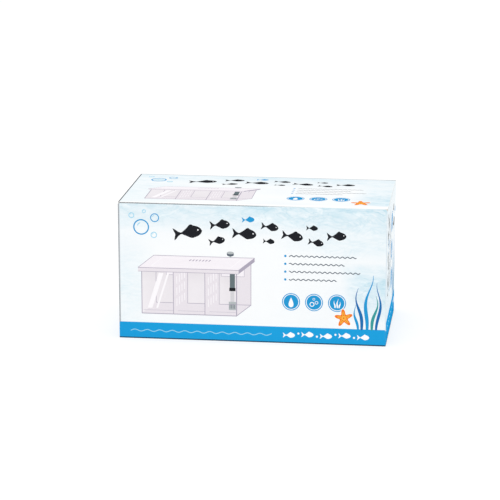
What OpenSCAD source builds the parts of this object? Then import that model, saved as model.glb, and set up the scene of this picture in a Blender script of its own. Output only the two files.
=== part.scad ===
// A hang-on fish breeding box packed in its folding carton.
// Millimetres. Origin at the middle of the carton's underside, X along the
// carton, Y towards its rear, Z up. Everything is drawn closed and packed.

/* [Carton] */
// Outside length of the carton
carton_l = 275; // [272:1:290]
// Outside depth of the carton
carton_d = 142; // [140:1:150]
// Outside height of the carton
carton_h = 143; // [142:1:160]
// Thickness of the board
board_t = 0.6; // [0.5:0.1:0.7]
// Depth of the tongue that tucks behind the front panel
tongue_l = 20; // [14:1:22]
// Length of each dust flap
dust_l = 52; // [40:1:58]
// Width of the glued side flap
glue_w = 16; // [10:1:20]

/* [Tank] */
// Outside length of the clear box at its rim
tank_l = 240; // [230:1:242]
// Outside depth of the clear box at its rim
tank_d = 86; // [80:1:88]
// Outside height of the clear box
tank_h = 116; // [112:1:118]
// Wall of the clear box
wall_t = 2.2; // [1.8:0.1:2.4]
// Floor of the clear box
floor_t = 2.5; // [2:0.1:3]
// How far each end and the front lean in at the floor
draft = 1.5; // [0.5:0.1:2]
// Overhang of the cover beyond the box at each end
cover_over = 4; // [3.5:0.1:4.5]
// Distance of each divider from the middle
divider_x = 40; // [36:1:44]
// Thickness of a divider
divider_t = 2; // [1.6:0.1:2.2]

/* [Hanger] */
// Room between the clear box and the hook lips for the aquarium glass
glass_gap = 16; // [14:0.5:17]
// Width of each trough that bridges the glass
trough_w = 32; // [30:1:34]
// Distance of each trough from the middle
trough_x = 92; // [88:1:94]
// Height of the hook lips
lip_h = 18; // [12:1:24]

/* [Lift tube] */
// Outside diameter of the grey upper tube
upper_od = 14; // [13:0.5:15]
// Outside diameter of the clear lower tube
lower_od = 11.7; // [11:0.1:12]
// Outside diameter of the strainer
strainer_od = 20; // [18:0.5:20]
// Outside diameter of the hose nipple
nipple_od = 4.8; // [4:0.1:5]
// Diameter of the flow knob
knob_od = 15; // [12:0.5:15]

/* [Hidden] */
$fn = 48;
e = 0.01;
W = carton_l / 2;
D = carton_d / 2;
H = carton_h;
t = board_t;
zb = 2 * t;                        // the tank stands on the bottom dust flaps
yf = -62;                          // outer face of the tank's front wall
yr = yf + tank_d;                  // outer face of the tank's rear wall
zt = zb + tank_h;                  // top of the tank's rim
zi = zb + floor_t;                 // inside floor of the tank
L = tank_l / 2;
ylip = yr + glass_gap;             // front face of the hook lips
lip_t = 2.2;
tx = -trough_x;                    // the lift tube stands at the left trough
ty = ylip + 12;                    // axis of the lift tube
inlet_floor = zt - 13;             // inside floor of the inlet trough
outlet_floor = zt - 17;            // inside floor of the outlet trough
elbow_r = 6;
elbow_z = zt - 0.2 - elbow_r;      // axis of the elbow's level arm
bend_r = 10;
upper_top = elbow_z - bend_r;      // the upper tube ends at the elbow's shoulder
upper_bot = zb + 65;
lower_top = upper_bot + 18;
lower_bot = zb + 21;
strainer_z0 = zb + 5;
strainer_z1 = zb + 29;
nipple_z = zb + 20;
knob_y = ylip - 5;
foot_z = zb + 18;
foot_xs = [-60, 62];
screw_r = 2.46;
screw_bore = 2.5;

// ---------------------------------------------------------------- helpers

// Rounded rectangle from lowest to highest corner
module rrect(x0, y0, x1, y1, r) {
    translate([x0 + r, y0]) square([x1 - x0 - 2 * r, y1 - y0]);
    translate([x0, y0 + r]) square([x1 - x0, y1 - y0 - 2 * r]);
    for (x = [x0 + r, x1 - r], y = [y0 + r, y1 - r]) translate([x, y]) circle(r);
}

module box(x0, y0, z0, x1, y1, z1) {
    translate([x0, y0, z0]) cube([x1 - x0, y1 - y0, z1 - z0]);
}

// Cylinder along Y
module ycyl(x, y0, y1, z, r) {
    translate([x, y1, z]) rotate([90, 0, 0]) cylinder(r = r, h = y1 - y0);
}

// Tub with rounded upright corners and a rounded foot. It leans in at both
// ends and at the front, and its rear wall is upright.
module tub(l, y0, y1, z0, z1, lean, rc, rf) {
    hull() {
        for (s = [-1, 1]) {
            for (y = [y0 + rc, y1 - rc])
                translate([s * (l - rc), y, z1 - 1]) cylinder(r = rc, h = 1, $fn = 32);
            translate([s * (l - lean - rf), y0 + lean + rf, z0 + rf]) sphere(rf, $fn = 32);
            translate([s * (l - lean - rf), y1 - rf, z0 + rf]) sphere(rf, $fn = 32);
        }
    }
}

// ----------------------------------------------------------------- carton

// Four walls of one folded strip, with the side flap glued inside the left wall
module carton_shell() {
    color("white") {
        difference() {
            linear_extrude(H - 0.1) rrect(-W, -D, W, D, 1);
            translate([0, 0, -1]) linear_extrude(H + 2) rrect(-W + t, -D + t, W - t, D - t, 0.4);
            // the side walls end under the dust flaps, the rear wall under the lid
            for (s = [-1, 1])
                box(s > 0 ? W - t - 0.4 : -W - 1, -D + 1, H - 2 * t - 0.2, s > 0 ? W + 1 : -W + t + 0.4, D - 1, H + 1);
            for (s = [-1, 1])
                box(s > 0 ? W - 1 : -W - 1, -D + t + 0.02, H - 2 * t - 0.2, s > 0 ? W + 1 : -W + 1, D - 1, H + 1);
            box(-W - 1, -D + t + 0.02, H - t - 0.1, W + 1, D + 1, H + 1);
        }
        box(-W + t, D - t - glue_w, 2 * t + 2, -W + 2 * t, D - t, H - 8);
    }
}

module bottom_panel() {
    color("whitesmoke") box(-W + t + 0.05, -D + t + 0.05, 0, W - t - 0.05, D - t, t);
}

module bottom_dust_flap(s) {
    color("gainsboro") translate([0, 0, t]) linear_extrude(t)
        polygon([[s * (W - t), -D + 5], [s * (W - t), D - 5],
                 [s * (W - t - 16), D - 5], [s * (W - dust_l), D - 40],
                 [s * (W - dust_l), -D + 18], [s * (W - dust_l + 6), -D + 5]]);
}

// Top panel with its tuck tongue. It folds about the rear top edge.
module carton_lid() {
    color("aliceblue") {
        difference() {
            box(-W, -D + t + 0.1, H - t, W, D, H);
            // the front corners are cut clear of the side walls
            for (s = [-1, 1]) translate([s * W, -D, H - t - 1]) rotate([0, 0, 45])
                cube([1.4, 1.4, 4 * t + 2], center = true);
        }
        // tongue, leaning in a little, with round lower corners
        translate([0, -D + t + 0.1, H - t]) rotate([-90 + 5.5, 0, 0])
            translate([0, 0, 0]) linear_extrude(t) {
                translate([-W + 5, -0.4]) square([2 * W - 10, tongue_l - 12]);
                rrect(-W + 5, -0.4, W - 5, tongue_l, 10);
            }
    }
}

// Flap under the lid, with a straight front edge and a mitred rear edge
module dust_flap(s) {
    color("gainsboro") translate([0, 0, H - 2 * t - 0.1]) linear_extrude(t)
        polygon([[s * W, -D + 8], [s * W, D - 4],
                 [s * (W - 3), D - 8], [s * (W - dust_l + 8), D - 4 - dust_l],
                 [s * (W - dust_l), D - dust_l - 14], [s * (W - dust_l), -D + 26],
                 [s * (W - dust_l + 8), -D + 12], [s * (W - 10), -D + 8]]);
}

// --------------------------------------------------------------- clear box

module tank() {
    color("lavender", 0.5) {
        difference() {
            union() {
                tub(L, yf, yr, zb, zt, draft, 6, 5);
                // bead below the rim, at the front and the ends
                intersection() {
                    translate([0, 0, zt - 5]) linear_extrude(3.2) rrect(-L - 1.2, yf - 1.2, L + 1.2, yr + 1.2, 7);
                    box(-L - 5, yf - 5, zt - 6, L + 5, yr - 8, zt);
                }
                for (x = foot_xs) ycyl(x, yr - 1, yr + 3, foot_z, 5.5);
            }
            tub(L - wall_t, yf + wall_t, yr - wall_t, zi, zt + 1.5, draft, 4, 3.4);
            box(-L - 20, yf - 20, zt, L + 20, yr + 20, zt + 5);
            // mouth of the inlet trough and of the outlet trough
            box(tx - trough_w / 2 + 2, yr - wall_t - 1, inlet_floor, tx + trough_w / 2 - 2, yr + 1, zt + 1);
            box(-tx - trough_w / 2 + 2, yr - wall_t - 1, outlet_floor, -tx + trough_w / 2 - 2, yr + 1, zt + 1);
            for (x = foot_xs) ycyl(x, yr - wall_t - 4.4, yr + 4, foot_z, screw_bore);
        }
        // blind bosses for the levelling screws
        for (x = foot_xs) difference() {
            ycyl(x, yr - wall_t - 6, yr - wall_t + 0.5, foot_z, 4.6);
            ycyl(x, yr - wall_t - 4.4, yr + 1, foot_z, screw_bore);
        }
        // guides for the dividers: two ribs on the front and on the rear wall
        for (s = [-1, 1], k = [-1, 1])
            translate([s * divider_x + k * (divider_t / 2 + 1), 0, 0]) {
                box(-0.75, yf + wall_t - 0.3, zi + 6, 0.75, yf + wall_t + 4.4, zt - 5);
                box(-0.75, yr - wall_t - 3.2, zi + 6, 0.75, yr - wall_t + 0.3, zt - 5);
            }
        // rails and sill for the outlet grille
        for (k = [-1, 1]) translate([-tx + k * (trough_w / 2 + 1.4), 0, 0]) {
            box(-1, yr - wall_t - 3.2, outlet_floor - 5, 1, yr - wall_t + 0.3, zt - 2);
            box(-1 - (k > 0 ? 1.5 : 0), yr - wall_t - 3.2, outlet_floor - 5, 1 + (k > 0 ? 0 : 1.5), yr - wall_t - 2.6, zt - 2);
        }
        box(-tx - trough_w / 2 - 1.5, yr - wall_t - 3.2, outlet_floor - 6.6, -tx + trough_w / 2 + 1.5, yr - wall_t + 0.3, outlet_floor - 5);
    }
}

// Channel over the glass, with the hook lip below it and a bonding flange
module trough_body(x, zf, y_end, w) {
    box(x - w / 2, yr, zf - 2, x + w / 2, ylip + lip_t, zf);
    for (k = [-1, 1])
        box(x + (k > 0 ? w / 2 - 2 : -w / 2), yr, zf - 2, x + (k > 0 ? w / 2 : -w / 2 + 2), y_end, zt - 1);
    box(x - w / 2, ylip, zf - 2 - lip_h, x + w / 2, ylip + lip_t, zf - 1);
    // webs between the floor and the lip
    for (k = [-1, 0, 1])
        translate([x + k * (w / 2 - 5), ylip, zf - 2]) rotate([90, 0, 90]) translate([0, 0, -0.8])
            linear_extrude(1.6) polygon([[0.5, 0.5], [-3, 0.5], [-3, 0], [0, -4], [0.5, -4]]);
    // bonding flange on the rear wall of the clear box
    box(x - w / 2 - 3, yr, zf - 8, x + w / 2 + 3, yr + 1.6, zf - 1);
}

module inlet_trough() {
    color("lavender", 0.5) difference() {
        union() {
            trough_body(tx, inlet_floor, ylip + lip_t, trough_w);
            box(tx - trough_w / 2, ylip, inlet_floor - 1, tx + trough_w / 2, ylip + lip_t, zt - 1);
        }
        // the elbow passes through the rear end
        ycyl(tx, ylip - 1, ylip + lip_t + 1, elbow_z, elbow_r + 0.05);
    }
}

module outlet_trough() {
    ye = ylip + 13;
    color("lavender", 0.5) {
        trough_body(-tx, outlet_floor, ye, trough_w);
        // spout behind the lip, open below
        for (k = [-1, 1])
            box(-tx + (k > 0 ? trough_w / 2 - 2 : -trough_w / 2), ylip + lip_t - 0.2, outlet_floor - 12,
                -tx + (k > 0 ? trough_w / 2 : -trough_w / 2 + 2), ye, outlet_floor);
        box(-tx - trough_w / 2, ye - 2, outlet_floor - 12, -tx + trough_w / 2, ye, zt - 1);
    }
}

// Loose cover: a plate with a skirt, a raised border and a lug at each end
module tank_cover() {
    x1 = L + cover_over;
    y0 = yf - 4;
    y1 = yr + 2.6;
    color("lavender", 0.6) {
        difference() {
            translate([0, 0, zt - 7]) linear_extrude(9) rrect(-x1, y0, x1, y1, 7);
            translate([0, 0, zt - 8]) linear_extrude(8) rrect(-x1 + 2, y0 + 2, x1 - 2, y1 - 2, 5);
            // the skirt is open at both troughs
            for (s = [-1, 1])
                box(s * trough_x - trough_w / 2 - 4, yr - 1, zt - 8, s * trough_x + trough_w / 2 + 4, y1 + 1, zt);
            // vent slots
            for (i = [-3 : 3]) translate([i * 9, yr - 14, zt - 1]) linear_extrude(5) rrect(-1.5, -5, 1.5, 5, 1.4);
        }
        // raised border
        translate([0, 0, zt + 2 - e]) linear_extrude(1.2) difference() {
            rrect(-x1 + 1.5, y0 + 1.5, x1 - 1.5, y1 - 1.5, 5.5);
            rrect(-x1 + 4, y0 + 4, x1 - 4, y1 - 4, 3.5);
        }
        // finger lugs
        for (s = [-1, 1]) translate([s * (x1 - 1), (y0 + y1) / 2, zt - 0.6]) linear_extrude(2.6)
            rrect(s > 0 ? 0 : -3.6, -11, s > 0 ? 3.6 : 0, 11, 1.6);
        // two grip marks near the front
        for (s = [-1, 1], i = [0 : 2]) translate([s * 40, y0 + 14 + i * 4, zt + 2 - e]) linear_extrude(0.7) rrect(-9, -0.7, 9, 0.7, 0.6);
    }
}

module divider(s) {
    yb0 = yf + wall_t + draft + 0.5;
    yt0 = yf + wall_t + 0.6;
    y1 = yr - wall_t - 0.4;
    zd = zi + 0.05;
    color("lavender", 0.6) translate([s * divider_x, 0, 0]) difference() {
        rotate([90, 0, 90]) translate([0, 0, -divider_t / 2]) linear_extrude(divider_t)
            polygon([[yb0 + 4, zd], [y1 - 4, zd], [y1, zi + 4], [y1, zt - 4],
                     [-6, zt - 4], [-8, zt - 1.2], [-30, zt - 1.2], [-32, zt - 4], [yt0, zt - 4], [yb0, zi + 4]]);
        for (i = [-4 : 4], j = [0 : 2])
            box(-3, -19 + i * 7.5 - 1, zi + 8 + j * 24, 3, -19 + i * 7.5 + 1, zi + 26 + j * 24);
    }
}

// Slotted plate that keeps fry out of the outlet
module outlet_grille() {
    x0 = -tx - trough_w / 2;
    x1 = -tx + trough_w / 2;
    color("silver") difference() {
        box(x0, yr - wall_t - 2.3, outlet_floor - 5, x1, yr - wall_t - 0.4, zt - 1.2);
        for (i = [-5 : 5])
            box(-tx + i * 2.5 - 0.6, yr - wall_t - 4, outlet_floor - 1, -tx + i * 2.5 + 0.6, yr, zt - 4);
    }
}

// ----------------------------------------------------------------- lift set

module lift_elbow() {
    br = 4.8;
    color("dimgray") difference() {
        union() {
            ycyl(tx, yr - wall_t - 1.5, ty - bend_r, elbow_z, elbow_r);
            translate([tx, ty - bend_r, elbow_z - bend_r]) rotate([90, 0, 90])
                rotate_extrude(angle = 90) translate([bend_r, 0]) circle(elbow_r);
            translate([tx, ty, upper_top - 10]) cylinder(r = 8.5, h = 10);
            translate([tx, ty, upper_top]) cylinder(r1 = 8.5, r2 = elbow_r, h = 2.5);
            // boss for the valve stem
            translate([tx, knob_y, elbow_z]) cylinder(r = 4.5, h = elbow_r + 2.2);
        }
        ycyl(tx, yr - wall_t - 3, ty - bend_r, elbow_z, br);
        translate([tx, ty - bend_r, elbow_z - bend_r]) rotate([90, 0, 90])
            rotate_extrude(angle = 90) translate([bend_r, 0]) circle(br);
        translate([tx, ty, upper_top - 11]) cylinder(r = upper_od / 2, h = 11);
        translate([tx, knob_y, elbow_z]) cylinder(r = 2.05, h = 20);
    }
}

module lift_tube_upper() {
    color("darkslategray") translate([tx, ty, upper_bot]) difference() {
        cylinder(r = upper_od / 2, h = upper_top - upper_bot);
        translate([0, 0, -1]) cylinder(r = lower_od / 2 + 0.05, h = 80);
    }
}

module tube_collar() {
    color("black") translate([tx, ty, upper_bot - 1.5]) difference() {
        union() {
            cylinder(r = upper_od / 2 + 1.6, h = 8);
            translate([0, 0, 8]) cylinder(r1 = upper_od / 2 + 1.6, r2 = upper_od / 2 + 0.6, h = 1.2);
        }
        translate([0, 0, 1.5]) cylinder(r = upper_od / 2, h = 12);
        translate([0, 0, -1]) cylinder(r = lower_od / 2 + 0.1, h = 4);
    }
}

module lift_tube_lower() {
    color("gainsboro", 0.5) translate([tx, ty, lower_bot]) difference() {
        cylinder(r = lower_od / 2, h = lower_top - lower_bot);
        translate([0, 0, -1]) cylinder(r = lower_od / 2 - 1.25, h = 90);
    }
}

module strainer() {
    r = strainer_od / 2;
    color("gray") translate([tx, ty, 0]) difference() {
        union() {
            translate([0, 0, strainer_z0]) cylinder(r = r, h = 15);
            translate([0, 0, strainer_z0 + 15]) cylinder(r1 = r, r2 = 7.8, h = 3);
            translate([0, 0, strainer_z0 + 15]) cylinder(r = 7.8, h = strainer_z1 - strainer_z0 - 15);
            // pad that carries the nipple
            translate([0, 0, nipple_z]) rotate([0, -90, 0]) cylinder(r = 3.6, h = 10);
        }
        translate([0, 0, strainer_z0 + 1.6]) cylinder(r = r - 1.6, h = 12);
        translate([0, 0, strainer_z0 + 10]) cylinder(r = lower_od / 2 - 1.3, h = 30);
        translate([0, 0, lower_bot]) cylinder(r = lower_od / 2 + 0.05, h = 30);
        // intake slots all round
        for (a = [0 : 30 : 150]) rotate([0, 0, a + 15])
            box(-r - 2, -1, strainer_z0 + 3, r + 2, 1, strainer_z0 + 11.5);
        // air way
        translate([-5, 0, nipple_z]) rotate([0, -90, 0]) cylinder(r = 1.2, h = 2.6);
        translate([-7.4, 0, nipple_z]) rotate([0, -90, 0]) cylinder(r = 2, h = 3);
    }
}

module air_nipple() {
    r = nipple_od / 2;
    color("silver") translate([tx, ty, nipple_z]) rotate([0, -90, 0]) difference() {
        union() {
            translate([0, 0, 7.4]) cylinder(r = 2, h = 2.6);
            translate([0, 0, 10]) cylinder(r = 3.4, h = 0.9);
            translate([0, 0, 10.9]) cylinder(r = r, h = 8);
            translate([0, 0, 18.9]) cylinder(r1 = r + 0.35, r2 = r - 0.5, h = 2.2);
        }
        translate([0, 0, 5]) cylinder(r = 1.2, h = 20);
    }
}

module flow_knob() {
    color("gray") translate([tx, knob_y, 0]) difference() {
        union() {
            translate([0, 0, elbow_z + 3.2]) cylinder(r = 2, h = 8);
            translate([0, 0, elbow_z + elbow_r + 2.4]) cylinder(r = knob_od / 2, h = 5);
            translate([0, 0, elbow_z + elbow_r + 7.4]) cylinder(r1 = knob_od / 2, r2 = knob_od / 2 - 0.8, h = 0.8);
        }
        // grip flutes round the rim
        for (a = [0 : 30 : 330]) rotate([0, 0, a]) translate([knob_od / 2 + 1, 0, elbow_z + elbow_r + 1])
            cylinder(r = 1.5, h = 10);
        // pointer groove
        box(-0.6, 1.5, elbow_z + elbow_r + 7.6, 0.6, knob_od / 2 - 1.5, elbow_z + elbow_r + 9);
    }
}

module valve_disc() {
    color("silver") translate([tx, knob_y, elbow_z]) {
        rotate([0, 90, 0]) translate([0, 0, -0.5]) intersection() {
            cylinder(r = 4.4, h = 1);
            translate([-3.2, -6, -1]) cube([8, 12, 4]);
        }
    }
}

// Threaded foot at the rear, screwed into its blind boss
module level_screw(x) {
    color("gray") {
        ycyl(x, yr - wall_t - 3.6, yr + 4, foot_z, screw_r);
        difference() {
            ycyl(x, yr + 3.3, yr + 6, foot_z, 7.5);
            for (a = [0 : 36 : 324])
                translate([x, 0, foot_z]) rotate([0, a, 0]) ycyl(8.3, yr + 3, yr + 7, 0, 1.4);
        }
    }
}

module level_pad(x) {
    color("dimgray") ycyl(x, yr + 6, yr + 7.5, foot_z, 6.4);
}

module bottom_dust_flap_left() { bottom_dust_flap(-1); }
module bottom_dust_flap_right() { bottom_dust_flap(1); }
module dust_flap_left() { dust_flap(-1); }
module dust_flap_right() { dust_flap(1); }
module divider_left() { divider(-1); }
module divider_right() { divider(1); }
module level_screw_left() { level_screw(foot_xs[0]); }
module level_screw_right() { level_screw(foot_xs[1]); }
module level_pad_left() { level_pad(foot_xs[0]); }
module level_pad_right() { level_pad(foot_xs[1]); }

carton_shell();
bottom_panel();
bottom_dust_flap_left();
bottom_dust_flap_right();
carton_lid();
dust_flap_left();
dust_flap_right();
tank();
inlet_trough();
outlet_trough();
lift_elbow();
lift_tube_upper();
tube_collar();
tank_cover();
divider_left();
divider_right();
outlet_grille();
flow_knob();
valve_disc();
lift_tube_lower();
strainer();
air_nipple();
level_screw_left();
level_pad_left();
level_screw_right();
level_pad_right();
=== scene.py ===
"""Finish, print and light for a boxed hang-on fish breeding box."""
import bpy
import math
import random
import numpy as np
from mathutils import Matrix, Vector
from mathutils.geometry import delaunay_2d_cdt


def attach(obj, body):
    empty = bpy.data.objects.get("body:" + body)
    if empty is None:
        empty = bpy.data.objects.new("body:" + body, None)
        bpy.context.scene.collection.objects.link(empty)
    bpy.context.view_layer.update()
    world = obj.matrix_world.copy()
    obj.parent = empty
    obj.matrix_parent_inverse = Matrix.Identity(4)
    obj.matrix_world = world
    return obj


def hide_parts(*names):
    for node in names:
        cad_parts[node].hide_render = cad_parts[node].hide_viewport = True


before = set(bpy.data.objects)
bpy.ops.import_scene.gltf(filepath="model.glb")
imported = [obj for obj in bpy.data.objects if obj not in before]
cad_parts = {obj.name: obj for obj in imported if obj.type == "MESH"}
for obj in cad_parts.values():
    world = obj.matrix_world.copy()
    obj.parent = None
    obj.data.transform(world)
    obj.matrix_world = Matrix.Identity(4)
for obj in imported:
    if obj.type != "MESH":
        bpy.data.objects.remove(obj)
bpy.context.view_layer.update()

MM = 0.001
W, D, H, T = 137.5, 71.0, 143.0, 0.6      # half length, half depth, height and board of the carton, in mm
scene = bpy.context.scene


# ------------------------------------------------------------------ camera
cam = bpy.data.cameras.new("camera")
cam.lens = 159.3
cam.sensor_width = 36.0
cam.clip_end = 50
cam_ob = bpy.data.objects.new("camera", cam)
scene.collection.objects.link(cam_ob)
cam_ob.location = (0.2654, -2.2366, 0.6361)
cam_ob.rotation_euler = (math.radians(90 - 13.875), 0, math.radians(7.03))
scene.camera = cam_ob
scene.view_settings.view_transform = "Standard"
scene.view_settings.look = "None"


# --------------------------------------------------------------- materials
def srgb(r, g, b):
    f = lambda c: c / 12.92 if c <= 0.04045 else ((c + 0.055) / 1.055) ** 2.4
    return (f(r / 255), f(g / 255), f(b / 255), 1.0)


class Nodes:
    """Short-hand for one material's node tree."""

    def __init__(self, name):
        self.mat = bpy.data.materials.new(name)
        self.mat.use_nodes = True
        self.nt = self.mat.node_tree
        self.nt.nodes.clear()
        self.out = self.nt.nodes.new("ShaderNodeOutputMaterial")

    def new(self, kind, **inputs):
        n = self.nt.nodes.new(kind)
        for k, v in inputs.items():
            if k in ("operation", "blend_type", "data_type", "feature", "wave_type", "bands_direction", "wave_profile", "noise_dimensions", "voronoi_dimensions", "interpolation_type"):
                setattr(n, k, v)
        for k, v in inputs.items():
            if k in ("operation", "blend_type", "data_type", "feature", "wave_type", "bands_direction", "wave_profile", "noise_dimensions", "voronoi_dimensions", "interpolation_type"):
                continue
            key = k.replace("_", " ") if not k.startswith("i") or not k[1:].isdigit() else int(k[1:])
            sock = n.inputs[key]
            if hasattr(v, "is_output") or isinstance(v, bpy.types.NodeSocket):
                self.nt.links.new(v, sock)
            else:
                sock.default_value = v
        return n

    def link(self, a, b):
        self.nt.links.new(a, b)

    def coords(self):
        return self.new("ShaderNodeTexCoord").outputs["Object"]

    def noise(self, vec, scale, detail=3.0, rough=0.5, distortion=0.0):
        n = self.new("ShaderNodeTexNoise", Scale=scale, Detail=detail, Roughness=rough, Distortion=distortion)
        self.link(vec, n.inputs["Vector"])
        return n.outputs["Fac"]

    def ramp(self, fac, stops):
        n = self.nt.nodes.new("ShaderNodeValToRGB")
        self.link(fac, n.inputs[0])
        el = n.color_ramp.elements
        while len(el) < len(stops):
            el.new(0.5)
        for e, (p, c) in zip(el, stops):
            e.position = p
            e.color = c if isinstance(c, tuple) else (c, c, c, 1)
        return n.outputs[0]

    def mix(self, fac, a, b, mode="MIX"):
        n = self.nt.nodes.new("ShaderNodeMix")
        n.data_type = "RGBA"
        n.blend_type = mode
        for sock, v in ((n.inputs[0], fac), (n.inputs[6], a), (n.inputs[7], b)):
            if isinstance(v, bpy.types.NodeSocket):
                self.link(v, sock)
            else:
                sock.default_value = v
        return n.outputs[2]

    def math(self, op, a, b=0.0, clamp=False):
        n = self.nt.nodes.new("ShaderNodeMath")
        n.operation = op
        n.use_clamp = clamp
        for sock, v in ((n.inputs[0], a), (n.inputs[1], b)):
            if isinstance(v, bpy.types.NodeSocket):
                self.link(v, sock)
            else:
                sock.default_value = v
        return n.outputs[0]

    def bump(self, height, strength, distance):
        n = self.new("ShaderNodeBump", Strength=strength, Distance=distance)
        self.link(height, n.inputs["Height"])
        return n.outputs["Normal"]

    def principled(self, base, rough=0.5, normal=None, **kw):
        n = self.nt.nodes.new("ShaderNodeBsdfPrincipled")
        for key, v in (("Base Color", base), ("Roughness", rough)):
            if isinstance(v, bpy.types.NodeSocket):
                self.link(v, n.inputs[key])
            else:
                n.inputs[key].default_value = v
        if normal is not None:
            self.link(normal, n.inputs["Normal"])
        for k, v in kw.items():
            n.inputs[k.replace("_", " ")].default_value = v
        return n

    def surface(self, shader):
        self.link(shader.outputs[0], self.out.inputs["Surface"])
        return self.mat


def varnished(n, colour):
    """Coated board under a thin gloss varnish: faint fibre relief and uneven sheen."""
    p = n.coords()
    fibre = n.noise(p, 2600.0, 2.0, 0.6)
    wave = n.noise(p, 26.0, 2.0, 0.5)
    rough = n.ramp(n.noise(p, 420.0, 3.0), [(0.3, 0.34), (0.7, 0.44)])
    h = n.math("ADD", n.math("MULTIPLY", fibre, 0.10), n.math("MULTIPLY", wave, 2.4))
    relief = n.bump(h, 0.3, 0.00012)
    gloss = n.new("ShaderNodeBsdfGlossy")
    gloss.inputs["Color"].default_value = (1, 1, 1, 1)
    n.link(rough, gloss.inputs["Roughness"])
    n.link(relief, gloss.inputs["Normal"])
    both = n.nt.nodes.new("ShaderNodeMixShader")
    both.inputs[0].default_value = 0.012
    n.link(n.principled(colour, 0.6, relief, Specular_IOR_Level=0.0).outputs[0], both.inputs[1])
    n.link(gloss.outputs[0], both.inputs[2])
    return n.surface(both)


def ink(name, rgb, spread=0.045):
    """A solid printed colour with the slight mottle of offset ink."""
    n = Nodes(name)
    p = n.coords()
    r, g, b, _ = srgb(*rgb)
    lo = tuple(max(0.0, c * (1 - spread)) for c in (r, g, b)) + (1,)
    hi = tuple(min(1.0, c * (1 + spread) + 0.004) for c in (r, g, b)) + (1,)
    fac = n.ramp(n.noise(p, 900.0, 4.0, 0.65), [(0.35, 0.0), (0.65, 1.0)])
    return varnished(n, n.mix(fac, lo, hi))


def water(name, squash, zones):
    """Pale water print: near white, with soft cyan washes and ripple lines where the zones ask for them.
    squash flattens the pattern along one axis. A zone is (strength, (axis, ramp stops in metres), ...)."""
    n = Nodes(name)
    p = n.coords()
    fit = n.nt.nodes.new("ShaderNodeMapping")
    fit.inputs["Scale"].default_value = squash
    n.link(p, fit.inputs["Vector"])
    v = fit.outputs[0]
    warp = n.new("ShaderNodeTexNoise", Scale=11.0, Detail=3.0, Roughness=0.6)
    n.link(v, warp.inputs["Vector"])
    shift = n.nt.nodes.new("ShaderNodeVectorMath")
    shift.operation = "MULTIPLY_ADD"
    n.link(warp.outputs["Color"], shift.inputs[0])
    shift.inputs[1].default_value = (0.030, 0.030, 0.030)
    n.link(p, shift.inputs[2])
    sep = n.new("ShaderNodeSeparateXYZ")
    n.link(shift.outputs[0], sep.inputs[0])
    amount = None
    for strength, *ramps in zones:
        one = strength
        for axis, stops in ramps:
            # the warp moves every point by about 15 mm, so the stops are moved along with it
            pos = n.math("MULTIPLY", n.math("ADD", sep.outputs[axis], 0.185), 2.5)
            one = n.math("MULTIPLY", n.ramp(pos, [((x + 0.2) * 2.5, k) for x, k in stops]), one)
        amount = one if amount is None else n.math("MAXIMUM", amount, one)
    cloud = n.ramp(n.noise(v, 13.0, 5.0, 0.6, 1.2), [(0.36, 0.0), (0.58, 1.0)])
    faint = n.ramp(n.noise(v, 6.0, 3.0, 0.5, 0.6), [(0.42, 0.0), (0.72, 1.0)])
    col = n.mix(n.math("MULTIPLY", faint, 0.75), srgb(244, 246, 247), srgb(233, 239, 243))
    col = n.mix(n.math("MULTIPLY", n.math("ADD", n.math("MULTIPLY", cloud, 0.55), 0.45), amount), col, srgb(206, 230, 240))
    # broad strokes, then thin ripples: the ridges of three noises
    def ridge(scale, detail, sharp, twist):
        f = n.noise(v, scale, detail, 0.55, twist)
        r = n.math("SUBTRACT", 1.0, n.math("MULTIPLY", n.math("ABSOLUTE", n.math("SUBTRACT", f, 0.5)), sharp), True)
        return n.math("POWER", r, 1.6)
    d = n.math("MULTIPLY", ridge(14.0, 4.0, 9.0, 1.8), n.math("POWER", amount, 1.5))
    col = n.mix(n.math("MULTIPLY", d, 0.45), col, srgb(158, 206, 224))
    a = n.math("MULTIPLY", ridge(30.0, 3.0, 16.0, 1.4), n.math("POWER", amount, 1.3))
    col = n.mix(n.math("MULTIPLY", a, 0.45), col, srgb(140, 196, 214))
    c = n.math("MULTIPLY", ridge(70.0, 3.0, 11.0, 0.8), amount)
    col = n.mix(n.math("MULTIPLY", c, 0.30), col, srgb(174, 214, 228))
    g = n.math("MULTIPLY", n.ramp(n.noise(v, 46.0, 3.0, 0.6, 1.0), [(0.56, 0.0), (0.68, 1.0)]), amount)
    col = n.mix(n.math("MULTIPLY", g, 0.75), col, srgb(249, 252, 253))
    return varnished(n, col)


def band():
    """The blue field: solid, a touch lighter to one side."""
    n = Nodes("print_blue_band")
    p = n.coords()
    g = n.ramp(n.noise(p, 5.0, 2.0), [(0.3, 0.0), (0.7, 1.0)])
    m = n.ramp(n.noise(p, 900.0, 4.0, 0.65), [(0.35, 0.0), (0.65, 1.0)])
    col = n.mix(g, srgb(6, 152, 213), srgb(14, 158, 218))
    return varnished(n, n.mix(n.math("MULTIPLY", m, 0.10), col, srgb(4, 136, 198)))


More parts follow.
